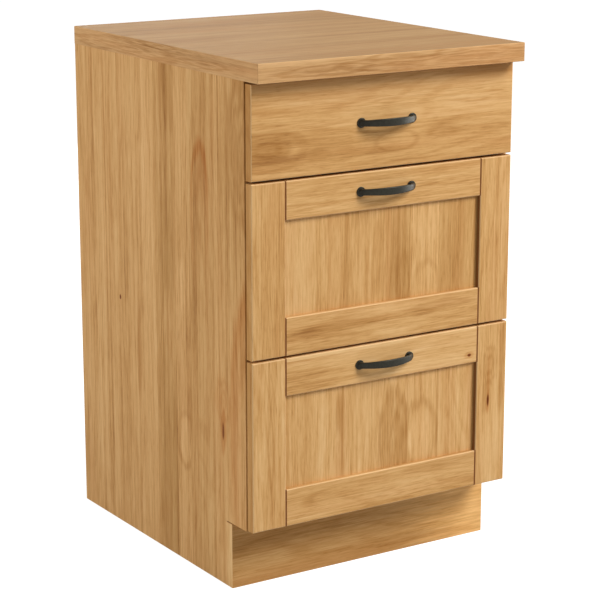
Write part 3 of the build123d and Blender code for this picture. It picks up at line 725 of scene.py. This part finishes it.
top_figure_and_shade = [
    spot(umber_tint, 0.713, -0.216, 0.022, 0.046, 2.0, 0.6),
    spot(umber_tint, 0.7, -0.13, 0.01, 0.03, 1.0, 0.6, 0.5, 0.5),
    spot(straw_tint, 0.704, -0.16, 0.016, 0.02, 1.0, 0.9),
    outline(umber_tint, 0.712, -0.225, 0.03, 0.074, low=1.0, high=1.0, rim=0.6, core=0.4),
    outline(umber_tint, 0.708, 0.02, 0.016, 0.04, low=1.0, high=1.0, rim=0.5),
    spot(umber_tint, 0.716, 0.11, 0.01, 0.042, 1.5, 0.6, 1.0, 0.5),
    spot(umber_tint, 0.724, 0.16, 0.008, 0.07, 1.0, 0.6, 0.6, 0.5),
    spot(straw_tint, 0.68, -0.19, 0.011, 0.095, 1.0, 0.8, 1.0, 0.7),
    spot(umber_tint, 0.772, 0.06, 0.016, 0.22, 3.0, 0.2, 0.6, 0.8),
    spot(umber_tint, 0.748, -0.14, 0.012, 0.14, 2.0, 0.2, 0.4, 0.5),
    # painted shade: a warm band along the top edge, under the worktop's overhang
    spot(rust_tint, 0.81, 0.06, 0.024, 0.4, 0.0, 1.0, 0.15, 0.4),
    spot(umber_tint, 0.806, 0.2, 0.012, 0.09, 1.0, 0.9, 0.8, 1.0),
]
top_front_decor = oak(
    "top_front_decor", level_front, (2.3, 0.0, 1.1),
    figure_light_and_shade=top_figure_and_shade,
    edges={"X": upright_side},
    ends=front_end,
    lift=-0.02,
    stave_width=0.16,
    band_contrast=0.45,
    streak_contrast=0.5,
    fibre_contrast=0.7,
    cloud_contrast=0.55,
)
finish_node("top_front", top_front_decor)

# %% Stiles, rails and panels of the two framed fronts
framed_figure_and_shade = {
    "middle_front_panel": [
        # painted shadow of the right stile: a narrow darker band along the panel's right edge
        wash(umber_tint, 0.187, 0.53, 0.008, 0.4, strength=0.9),
        wash(olive_tint, 0.034, 0.53, 0.06, 0.4, strength=0.6, left=-0.02, right=0.019),
        spot(umber_tint, 0.038, 0.48, 0.024, 0.085, 2.0, 0.5, 0.7, 1.0, right=0.015),
        wash(straw_tint, 0.081, 0.53, 0.06, 0.4, strength=0.4, left=-0.028, right=0.028),
        outline(umber_tint, 0.085, 0.455, 0.026, 0.052, low=0.6, high=0.8, rim=0.6),
        wash(olive_tint, 0.147, 0.53, 0.08, 0.5, strength=0.45, left=-0.038),
        spot(umber_tint, -0.069, 0.55, 0.004, 0.14, 1.0, 0.8, 0.4, 0.8),
    ],
    "bottom_front_panel": [
        # painted shadow of the right stile: a narrow darker band along the panel's right edge
        wash(umber_tint, 0.187, 0.25, 0.008, 0.4, strength=0.9),
        spot(umber_tint, 0.03, 0.2, 0.032, 0.09, 1.0, 0.8, 0.9, 0.9, right=0.023, rim=0.8, ragged=0.5),
        spot(umber_tint, 0.026, 0.215, 0.04, 0.12, 3.0, 0.1, 0.8, 0.8, right=0.027),
        spot(straw_tint, 0.077, 0.212, 0.024, 0.046, 0.5, 0.8, 0.9, 0.9, left=-0.024, ragged=0.5),
        outline(umber_tint, 0.078, 0.216, 0.031, 0.058, low=0.8, high=0.9, rim=0.7, left=-0.025),
        spot(umber_tint, -0.083, 0.28, 0.007, 0.036, 1.0, 0.9),
        spot(umber_tint, -0.0755, 0.27, 0.0024, 0.1, 0.5, 1.0, ragged=0.3),
        spot(umber_tint, 0.1115, 0.25, 0.0026, 0.13, 0.5, 1.0, 0.8, 0.8, ragged=0.3),
    ],
    "middle_rail_lower": [
        spot(umber_tint, 0.424, -0.075, 0.009, 0.095, 1.5, 0.7, 0.6, 0.6),
        spot(umber_tint, 0.407, -0.08, 0.013, 0.065, 2.0, 0.4, 0.5, 0.5),
        spot(straw_tint, 0.441, 0.025, 0.009, 0.055, 1.0, 0.8, 1.0, 0.9),
        spot(umber_tint, 0.432, 0.12, 0.01, 0.08, 1.5, 0.5, 0.8, 0.6),
    ],
    "bottom_rail_lower": [
        spot(umber_tint, 0.161, 0.12, 0.01, 0.08, 1.0, 0.8, 0.9, 0.7),
        spot(straw_tint, 0.13, 0.065, 0.014, 0.06, 1.5, 0.5, 0.9, 0.9),
        spot(umber_tint, 0.128, 0.065, 0.017, 0.07, 2.0, 0.1, 0.6, 0.6),
        spot(straw_tint, 0.127, -0.12, 0.013, 0.105, 1.0, 0.7, 0.8, 0.7),
    ],
    "bottom_rail_upper": [
        spot(rust_tint, 0.339, 0.17, 0.006, 0.011, 1.0, 0.8, 0.8, 0.8),
        spot(bark_tint, 0.339, 0.17, 0.003, 0.0044, 0.5, 1.0),
    ],
    "middle_rail_upper": [
        spot(umber_tint, 0.636, 0.13, 0.012, 0.1, 2.0, 0.2, 0.6, 0.5),
    ],
    "bottom_stile_left": [
        spot(umber_tint, -0.214, 0.25, 0.009, 0.12, 2.0, 0.4, 0.6, 0.6),
    ],
    "bottom_stile_right": [
        spot(umber_tint, 0.2115, 0.318, 0.019, 0.04, 2.5, 0.3, 0.9, 0.8),
        spot(rust_tint, 0.211, 0.3, 0.003, 0.05, 0.5, 1.0, 0.7, 0.6),
        spot(umber_tint, 0.236, 0.268, 0.006, 0.04, 1.0, 0.8, 1.0, 0.8),
        spot(umber_tint, 0.238, 0.345, 0.006, 0.045, 1.0, 0.8, 0.7, 0.7),
        spot(umber_tint, 0.204, 0.262, 0.008, 0.03, 1.0, 0.7, 0.6, 0.8),
        spot(rust_tint, 0.2105, 0.254, 0.0042, 0.022, 1.0, 0.9, 0.8, 0.8),
        spot(bark_tint, 0.2105, 0.256, 0.0025, 0.0115, 0.5, 1.0),
    ],
}
lifts = {
    "middle_stile_right": 0.16,
    "middle_rail_upper": 0.14,
    "bottom_rail_upper": 0.18,
    "bottom_stile_right": 0.12,
    "bottom_rail_lower": 0.08,
    "bottom_front_panel": 0.08,
    "middle_stile_left": 0.06,
}
kinds = {
    "stile_left": (upright_front, 0.37),
    "stile_right": (upright_front, 2.71),
    "rail_upper": (level_front, 1.13),
    "rail_lower": (level_front, 3.49),
    "front_panel": (upright_front, 5.02),
}
frame_contrasts = {"stave_width": 0.14}
panel_contrasts = {
    "stave_width": 0.062,
    "band_contrast": 0.4,
    "line_contrast": 0.55,
    "streak_contrast": 0.6,
    "cloud_contrast": 0.35,
}
front_middles = {"middle": 0.5275, "bottom": 0.2485}
for number, (level, middle) in enumerate(front_middles.items()):
    for kind, (axes, start) in kinds.items():
        node = f"{level}_{kind}"
        is_panel = kind == "front_panel"
        finish_node(
            node,
            oak(
                f"{node}_decor",
                axes,
                (start + 0.31 * number, 0.7 * number, 1.9 * start),
                figure_light_and_shade=framed_figure_and_shade.get(node, ()),
                seam=None if is_panel else middle,
                ends=front_end if "stile" in kind else None,
                lift=lifts.get(node, 0.03),
                **(panel_contrasts if is_panel else frame_contrasts),
            ),
        )
print("oak boards:", sum("decor" in material.name for material in bpy.data.materials))


# %% [markdown]
# ## Plain finishes
#
# Inside, the cabinet is plain: white melamine on the boards, white epoxy on the runners, natural
# nylon, zinc and beech. None of them is one even colour up close. One small group gives each a faint
# mottle and a fine texture, and each material sets how strong and how fine it is.

# %% Build the mottle group and the plain materials
mottle, mottle_in, mottle_out = new_group(
    "fine_mottle",
    {
        "Scale": 300.0,
        "Light": (1.0, 1.0, 1.0, 1.0),
        "Dark": (0.0, 0.0, 0.0, 1.0),
        "Stretch": (1.0, 1.0, 1.0),
    },
    {"Color": white, "Height": 0.0},
)
mottle_depth = 0.0002
mottle_place = put(mottle, "ShaderNodeTexCoord").outputs["Object"]
mottle_place = vector_maths(mottle, "MULTIPLY", mottle_place, mottle_in["Stretch"])
speck = put(
    mottle,
    "ShaderNodeTexNoise",
    {"Vector": mottle_place, "Scale": mottle_in["Scale"], "Detail": 3.0, "Roughness": 0.6},
).outputs["Fac"]
patch = put(mottle, "ShaderNodeTexNoise", {"Vector": mottle_place, "Scale": 14.0, "Detail": 2.0})
share = blend_value(mottle, [(speck, 1.2), (patch.outputs["Fac"], 0.7)])
mottled = mix_colours(mottle, share, mottle_in["Dark"], mottle_in["Light"])
mottle.links.new(mottled, mottle_out["Color"])
mottle.links.new(speck, mottle_out["Height"])


def plain(name, light, dark, smooth, rough, metal=0.0, scale=300.0, stretch=(1, 1, 1), bump=0.05):
    """A mottled finish, its roughness between smooth and rough."""
    material, tree = new_material(name)
    inputs = {"Scale": scale, "Light": light, "Dark": dark, "Stretch": stretch}
    pattern = put(tree, "ShaderNodeGroup", inputs, node_tree=mottle).outputs
    relief = (bump, mottle_depth)
    coat(tree, pattern["Color"], pattern["Height"], (smooth, rough), relief, {"Metallic": metal})
    return material


white_melamine = plain("white_melamine", srgb(240, 239, 235), srgb(228, 226, 220), 0.35, 0.5)
white_hardboard = plain("white_hardboard", srgb(236, 234, 228), srgb(222, 219, 211), 0.45, 0.65)
white_epoxy = plain(
    "white_epoxy", srgb(238, 238, 236), srgb(230, 230, 228), 0.34, 0.42, scale=180.0, bump=0.02
)
nylon = plain("natural_nylon", srgb(226, 226, 218), srgb(206, 206, 198), 0.35, 0.5)
zinc = plain(
    "bright_zinc", srgb(206, 208, 210), srgb(160, 164, 168), 0.25, 0.42, metal=1.0, scale=500.0
)
beech = plain(
    "bare_beech", srgb(222, 190, 146), srgb(192, 154, 108), 0.6, 0.8, stretch=(0.1, 1, 1)
)
bronze = plain(
    "dark_bronze", srgb(58, 57, 46), srgb(34, 31, 24), 0.3, 0.42, metal=0.6, scale=260.0, bump=0.12
)

plain_nodes = {
    white_melamine: ["bottom_panel", "front_rail", "rear_rail"],
    white_hardboard: ["back_panel"],
    zinc: [
        "plinth_brackets", "plinth_screws", "cam_fittings", "cam_bolts",
        "worktop_screws", "runner_screws",
    ],
    beech: ["wood_dowels"],
    white_epoxy: [],
    nylon: [],
    bronze: [],
}
for level in ("top", "middle", "bottom"):
    for piece in ("box_side_left", "box_side_right", "box_front", "box_back"):
        plain_nodes[white_melamine].append(f"{level}_{piece}")
    plain_nodes[white_hardboard].append(f"{level}_box_bottom")
    plain_nodes[white_epoxy] += [f"{level}_cabinet_runners", f"{level}_drawer_runners"]
    plain_nodes[nylon] += [f"{level}_front_rollers", f"{level}_rear_rollers"]
    plain_nodes[zinc].append(f"{level}_drawer_screws")
    plain_nodes[bronze].append(f"{level}_handle")
for material, names in plain_nodes.items():
    for node in names:
        finish_node(node, material)
    print(material.name, "on", len(names), "nodes")


# %% [markdown]
# ## Bow handles
#
# Each front has a bow handle of cast metal: a flat strap that rises out of one round foot, runs out
# to the front in a shallow bow and comes back to the other foot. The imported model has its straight
# edges only. Here half a strap is drawn from a rounded section that is extruded along the bow, step
# by step, and turned and resized at each step: it starts thick in the foot, bends over in a round
# shoulder, and is flattest and widest in the middle. A mirror makes the other half, so both ends are
# alike. The feet are turned discs with a rounded rim and a domed boss, out of which the strap rises.

# %% Helpers for modelling
outward = -0.9  # a face looks along minus X or minus Y when its normal goes past this


def pick_only(*pieces):
    """Selects these pieces and nothing else, and makes the first one active."""
    bpy.ops.object.select_all(action="DESELECT")
    for piece in pieces:
        piece.select_set(True)
    bpy.context.view_layer.objects.active = pieces[0]


def choose(piece, kind, test):
    """Selects edges or faces of a piece by a test, and leaves it in edit mode."""
    bpy.ops.object.mode_set(mode="EDIT")
    bpy.ops.mesh.select_mode(type=kind)
    bpy.ops.mesh.select_all(action="DESELECT")
    bpy.ops.object.mode_set(mode="OBJECT")
    chosen = 0
    for element in piece.data.edges if kind == "EDGE" else piece.data.polygons:
        element.select = test(element)
        chosen += element.select
    bpy.ops.object.mode_set(mode="EDIT")
    return chosen


def start_piece(name, add_primitive, **settings):
    """Adds a primitive with nothing else selected, and puts its origin in the middle of the floor."""
    bpy.ops.object.select_all(action="DESELECT")
    add_primitive(**settings)
    piece = bpy.context.object
    piece.name = name
    bpy.ops.object.transform_apply(location=True, rotation=True, scale=True)
    return piece


def copy_piece(piece, name, shift, turn=0.0):
    """A copy with its own mesh, turned about Z and moved. Its origin is in the middle of the floor."""
    pick_only(piece)
    bpy.ops.object.duplicate(linked=False)
    copy = bpy.context.object
    copy.name = name
    copy.rotation_euler.z = turn
    copy.location = shift
    bpy.ops.object.transform_apply(location=True, rotation=True, scale=True)
    return copy


# %% Extrude half a strap along the bow and mirror it
mm = 0.001
handle_heights = {"top": 0.7425, "middle": 0.6345, "bottom": 0.3555}
top_handle_z = handle_heights["top"]
foot_x = 0.048
front_y = -0.275
bow_radius = 94.8
bow_rise = 19.7  # from the front to the middle of the strap
strap_gauge = 4.2
strap_corner = 1.4
strap_steps = [  # along X, out of the front, lean in degrees, width and gauge, from foot to middle
    (-48.0, 0.6, 90.0, 9.4, 8.0),
    (-47.9, 2.4, 87.0, 9.7, 7.6),
    (-47.5, 4.4, 76.0, 10.1, 6.6),
    (-46.4, 6.6, 56.0, 10.2, 5.4),
    (-44.2, 8.5, 38.0, 10.1, 4.6),
]
bow_steps = [(-41, 10.2), (-36, 10.6), (-27, 11.4), (-18, 12.0), (-9, 12.4), (0, 12.6)]
for x, width in bow_steps:
    lean = asin(-x / bow_radius)
    rise = bow_rise - bow_radius * (1 - cos(lean))
    strap_steps.append((x, rise, degrees(lean), width, strap_gauge))


def at_handle(x, rise):
    """A place on the top handle, x mm from its middle and rise mm out of the front."""
    return Vector((x * mm, front_y - rise * mm, top_handle_z))


widest = strap_steps[-1][3] * mm
before = strap_steps[0]
strap = start_piece(
    "top_bow",
    bpy.ops.mesh.primitive_plane_add,
    size=widest,
    location=at_handle(before[0], before[1]),
    rotation=(pi / 2, 0.0, 0.0),
)
bpy.ops.object.mode_set(mode="EDIT")
bpy.ops.transform.resize(value=(strap_gauge * mm / widest, 1.0, 1.0))
bpy.ops.mesh.bevel(offset=strap_corner * mm, segments=3, affect="VERTICES")
bpy.ops.transform.resize(value=(before[4] / strap_gauge, 1.0, before[3] * mm / widest))
for step in strap_steps[1:]:
    (x, rise, lean, width, gauge), place = step, at_handle(step[0], step[1])
    shift = place - at_handle(before[0], before[1])
    bpy.ops.mesh.extrude_region_move(TRANSFORM_OT_translate={"value": shift})
    bpy.ops.transform.rotate(
        value=radians(lean - before[2]), orient_axis="Z", center_override=place
    )
    # the section is flat, so one factor along X and Y changes only its gauge
    grow = gauge / before[4]
    bpy.ops.transform.resize(value=(grow, grow, width / before[3]), center_override=place)
    before = step
print("strap extruded in", len(strap_steps) - 1, "steps")
bpy.ops.mesh.delete(type="FACE")
bpy.ops.object.mode_set(mode="OBJECT")
bpy.ops.object.modifier_add(type="MIRROR")
bpy.ops.object.modifier_apply(modifier="Mirror")
bpy.ops.object.modifier_add(type="SUBSURF")
strap.modifiers["Subdivision"].levels = 2
bpy.ops.object.modifier_apply(modifier="Subdivision")
bpy.ops.object.mode_set(mode="EDIT")
bpy.ops.mesh.select_all(action="SELECT")
bpy.ops.mesh.normals_make_consistent(inside=False)
bpy.ops.object.mode_set(mode="OBJECT")
print("strap faces:", len(strap.data.polygons))

# %% Turn a foot, copy it and join the handle
foot_radius = 0.0079
foot_rise = 0.0020
boss_inset = 0.0024
dome_steps = [(0.0012, 0.93), (0.0010, 0.86), (0.0008, 0.72)]  # how far out, and how much narrower
foot_bevel = 0.0009
handle_smooth = radians(35)
foot_middle = Vector((-foot_x, front_y, top_handle_z))
foot_top_y = front_y - foot_rise
left_foot = start_piece(
    "left_foot",
    bpy.ops.mesh.primitive_cylinder_add,
    vertices=40,
    radius=foot_radius,
    depth=foot_rise,
    location=(-foot_x, front_y - foot_rise / 2, top_handle_z),
    rotation=(pi / 2, 0.0, 0.0),
)
choose(left_foot, "FACE", lambda face: face.normal.y < outward)
bpy.ops.mesh.inset(thickness=boss_inset)
for rise, narrower in dome_steps:
    bpy.ops.mesh.extrude_region_move(TRANSFORM_OT_translate={"value": (0.0, -rise, 0.0)})
    bpy.ops.transform.resize(value=(narrower, 1.0, narrower))


def on_rim(edge):
    """Whether an edge is on the outer rim of the foot's flat face."""
    ends = [left_foot.data.vertices[v].co for v in edge.vertices]
    flat = all(abs(end.y - foot_top_y) < 1e-5 for end in ends)
    return flat and all((end - foot_middle).length > 0.9 * foot_radius for end in ends)


choose(left_foot, "EDGE", on_rim)
bpy.ops.mesh.bevel(offset=foot_bevel, segments=3)
bpy.ops.object.mode_set(mode="OBJECT")
right_foot = copy_piece(left_foot, "right_foot", (2 * foot_x, 0.0, 0.0))
pick_only(strap, left_foot, right_foot)
bpy.ops.object.join()
bpy.ops.object.shade_smooth_by_angle(angle=handle_smooth)
low_corner, high_corner = (
    [pick(vertex.co[axis] for vertex in strap.data.vertices) for axis in range(3)]
    for pick in (min, max)
)
print("handle faces:", len(strap.data.polygons), "from", low_corner, "to", high_corner)

# %% Put a handle on each drawer
for level, height in handle_heights.items():
    handle = strap
    if level != "top":
        handle = copy_piece(strap, f"{level}_bow", (0.0, 0.0, height - top_handle_z))
    handle.data.materials.clear()
    handle.data.materials.append(bronze)
    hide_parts(f"{level}_handle")
    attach(handle, f"{level}_drawer")
    print(handle.name, "is", [round(v / mm, 1) for v in handle.dimensions], "mm")


# %% [markdown]
# ## Corner screws of the drawer boxes
#
# The sides of a drawer box are screwed to its front and back boards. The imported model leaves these
# screws out, but their heads show as soon as a drawer is open. Each is a raised countersunk head
# with a cross recess. It is turned on a lathe and the cross is pressed in, so here a disc is raised
# in two steps, its middle is cut twice each way, and the five faces of the cross are pushed in. One
# head is modelled and the others are copies of it.

# %% Raise a head and press in its cross
corner_heights = {
    "top": (0.733, 0.761),
    "middle": (0.454, 0.524, 0.593),
    "bottom": (0.175, 0.245, 0.314),
}
head_radius = 0.0034
head_rim = 0.0004
head_steps = [(0.0007, 0.00035), (0.0006, 0.00015)]  # how far in, and how far up
cross_width = 0.0011
cross_depth = 0.0007
cross_taper = 0.75
flatness = 0.00002
head_smooth = radians(25)
box_side_x = -0.2205
front_screw_y = -0.253
back_screw_y = 0.235
head_z = corner_heights["top"][0]
head = start_piece(
    "corner_screw_head",
    bpy.ops.mesh.primitive_cylinder_add,
    vertices=32,
    radius=head_radius,
    depth=head_rim,
    location=(box_side_x - head_rim / 2, front_screw_y, head_z),
    rotation=(0.0, pi / 2, 0.0),
)
choose(head, "FACE", lambda face: face.normal.x < outward)
for inset, rise in head_steps:
    bpy.ops.mesh.inset(thickness=inset)
    bpy.ops.transform.translate(value=(-rise, 0.0, 0.0))
head_top = (box_side_x - head_rim - sum(rise for inset, rise in head_steps), front_screw_y, head_z)


def in_middle(face):
    """Whether a face is part of the flat middle of the head."""
    return face.center.x < head_top[0] + flatness and face.normal.x < outward


def in_cross(face):
    """Whether a face is between the cuts, upright or level."""
    off_middle = min(abs(face.center.y - front_screw_y), abs(face.center.z - head_z))
    return in_middle(face) and off_middle < cross_width / 4


for side in (-0.5, 0.5):
    for normal in ((0.0, 1.0, 0.0), (0.0, 0.0, 1.0)):
        choose(head, "FACE", in_middle)
        cut = [along + side * cross_width * way for along, way in zip(head_top, normal)]
        bpy.ops.mesh.bisect(plane_co=cut, plane_no=normal)
cross_faces = choose(head, "FACE", in_cross)
bpy.ops.mesh.extrude_region_move(TRANSFORM_OT_translate={"value": (cross_depth, 0.0, 0.0)})
bpy.ops.transform.resize(value=(1.0, cross_taper, cross_taper), center_override=head_top)
bpy.ops.object.mode_set(mode="OBJECT")
bpy.ops.object.shade_smooth_by_angle(angle=head_smooth)
head.data.materials.append(zinc)
print("cross of", cross_faces, "faces, head of", len(head.data.polygons))

# %% Copy it to every corner of every box
for level, heights in corner_heights.items():
    heads = []
    for height in heights:
        for y in (front_screw_y, back_screw_y):
            rise = height - head_z
            shift = (0.0, y - front_screw_y, rise)
            heads.append(copy_piece(head, "left_head", shift))
            # a half turn about Z also turns the place round, so the shift undoes that along Y
            shift = (0.0, y + front_screw_y, rise)
            heads.append(copy_piece(head, "right_head", shift, turn=pi))
    pick_only(*heads)
    bpy.ops.object.join()
    heads[0].name = f"{level}_corner_screws"
    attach(heads[0], f"{level}_drawer")
    print(heads[0].name, "has", 4 * len(heights), "heads")
pick_only(head)
bpy.ops.object.delete()
